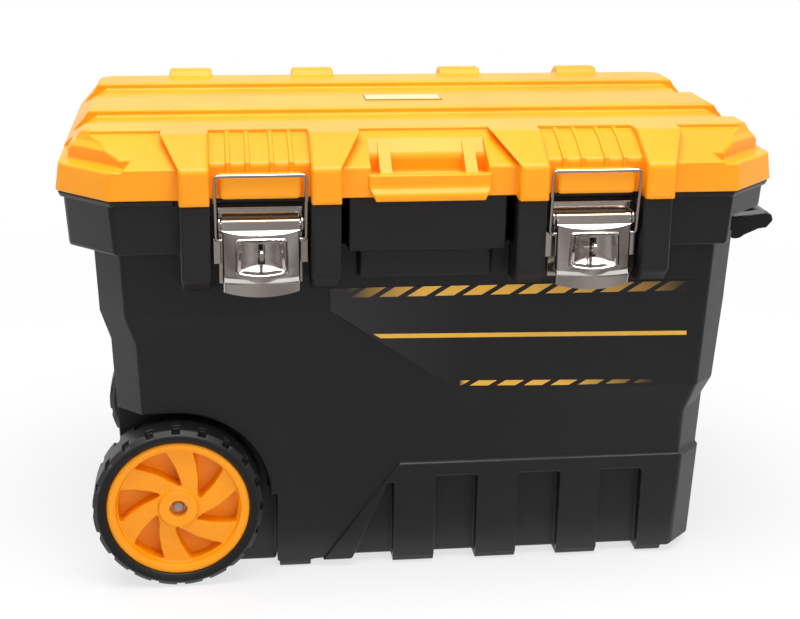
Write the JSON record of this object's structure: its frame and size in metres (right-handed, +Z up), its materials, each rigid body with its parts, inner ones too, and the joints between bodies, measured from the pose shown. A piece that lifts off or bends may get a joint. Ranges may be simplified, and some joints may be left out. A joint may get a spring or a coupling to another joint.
{
  "type": "rolling toolbox",
  "caption": "Rolling moulded toolbox: deep drafted tub with wheels at one end and a folding tow handle at the other, and a hinged grooved lid held by draw latches.",
  "frame": {"origin": "middle of the lid's width and depth, on the floor, under the rib in the middle of the tub's floor", "axes": "+X towards the tow handle, -Y out of the front with the latches, +Z up"},
  "size_m": [0.6366, 0.379, 0.4152],
  "materials": {
    "tub_plastic": "fine matte texture",
    "lid_plastic": "satin moulded",
    "handle_plastic": "smooth",
    "tyre_rubber": "matte rubber",
    "nickel_steel": "bright nickel plate",
    "zinc_steel": "zinc plate",
    "label_film": "printed film"
  },
  "bodies": {
    "tub": {"tub": "tub_plastic", "hinge_rod": "zinc_steel", "hinge_caps": "zinc_steel", "latch_plate_left": "nickel_steel", "latch_plate_right": "nickel_steel", "latch_rivets_left": "nickel_steel", "latch_rivets_right": "nickel_steel", "lever_pin_left": "nickel_steel", "lever_pin_right": "nickel_steel", "padlock_staple_left": "nickel_steel", "padlock_staple_right": "nickel_steel", "axle": "zinc_steel", "axle_washers": "zinc_steel", "axle_clips": "zinc_steel", "handle_pins": "zinc_steel", "front_label": "label_film"},
    "lid": {"lid": "lid_plastic", "lid_nameplate": "label_film"},
    "lever_left": {"latch_lever_left": "nickel_steel"},
    "lever_right": {"latch_lever_right": "nickel_steel"},
    "bail_left": {"latch_bail_left": "nickel_steel"},
    "bail_right": {"latch_bail_right": "nickel_steel"},
    "wheel_front": {"wheel_rim_front": "lid_plastic", "tyre_front": "tyre_rubber"},
    "wheel_rear": {"wheel_rim_rear": "lid_plastic", "tyre_rear": "tyre_rubber"},
    "tow_handle": {"tow_handle": "handle_plastic"}
  },
  "joints": [
    {"name": "lid_hinge", "type": "hinge", "parent": "tub", "child": "lid", "pos_m": [0, 0.183, 0.352], "axis": [-1, 0, 0], "range_deg": [0, 105]},
    {"name": "lever_left_turn", "type": "hinge", "parent": "tub", "child": "lever_left", "pos_m": [-0.1405, -0.172, 0.338], "axis": [-1, 0, 0], "range_deg": [0, 120]},
    {"name": "bail_left_turn", "type": "hinge", "parent": "lever_left", "child": "bail_left", "pos_m": [-0.1405, -0.1755, 0.325], "axis": [-1, 0, 0], "range_deg": [-145, 0]},
    {"name": "lever_right_turn", "type": "hinge", "parent": "tub", "child": "lever_right", "pos_m": [0.1405, -0.172, 0.338], "axis": [-1, 0, 0], "range_deg": [0, 120]},
    {"name": "bail_right_turn", "type": "hinge", "parent": "lever_right", "child": "bail_right", "pos_m": [0.1405, -0.1755, 0.325], "axis": [-1, 0, 0], "range_deg": [-145, 0]},
    {"name": "wheel_front_spin", "type": "hinge", "parent": "tub", "child": "wheel_front", "pos_m": [-0.2165, -0.136, 0.075], "axis": [0, 1, 0], "continuous": true},
    {"name": "wheel_rear_spin", "type": "hinge", "parent": "tub", "child": "wheel_rear", "pos_m": [-0.2165, 0.136, 0.075], "axis": [0, 1, 0], "continuous": true},
    {"name": "tow_handle_fold", "type": "hinge", "parent": "tub", "child": "tow_handle", "pos_m": [0.2921, 0, 0.3085], "axis": [0, 1, 0], "range_deg": [0, 90]}
  ],
  "couplings": [
    {"joint": "bail_left_turn", "follows": "lever_left_turn", "ratio": -1.2},
    {"joint": "bail_right_turn", "follows": "lever_right_turn", "ratio": -1.2}
  ]
}
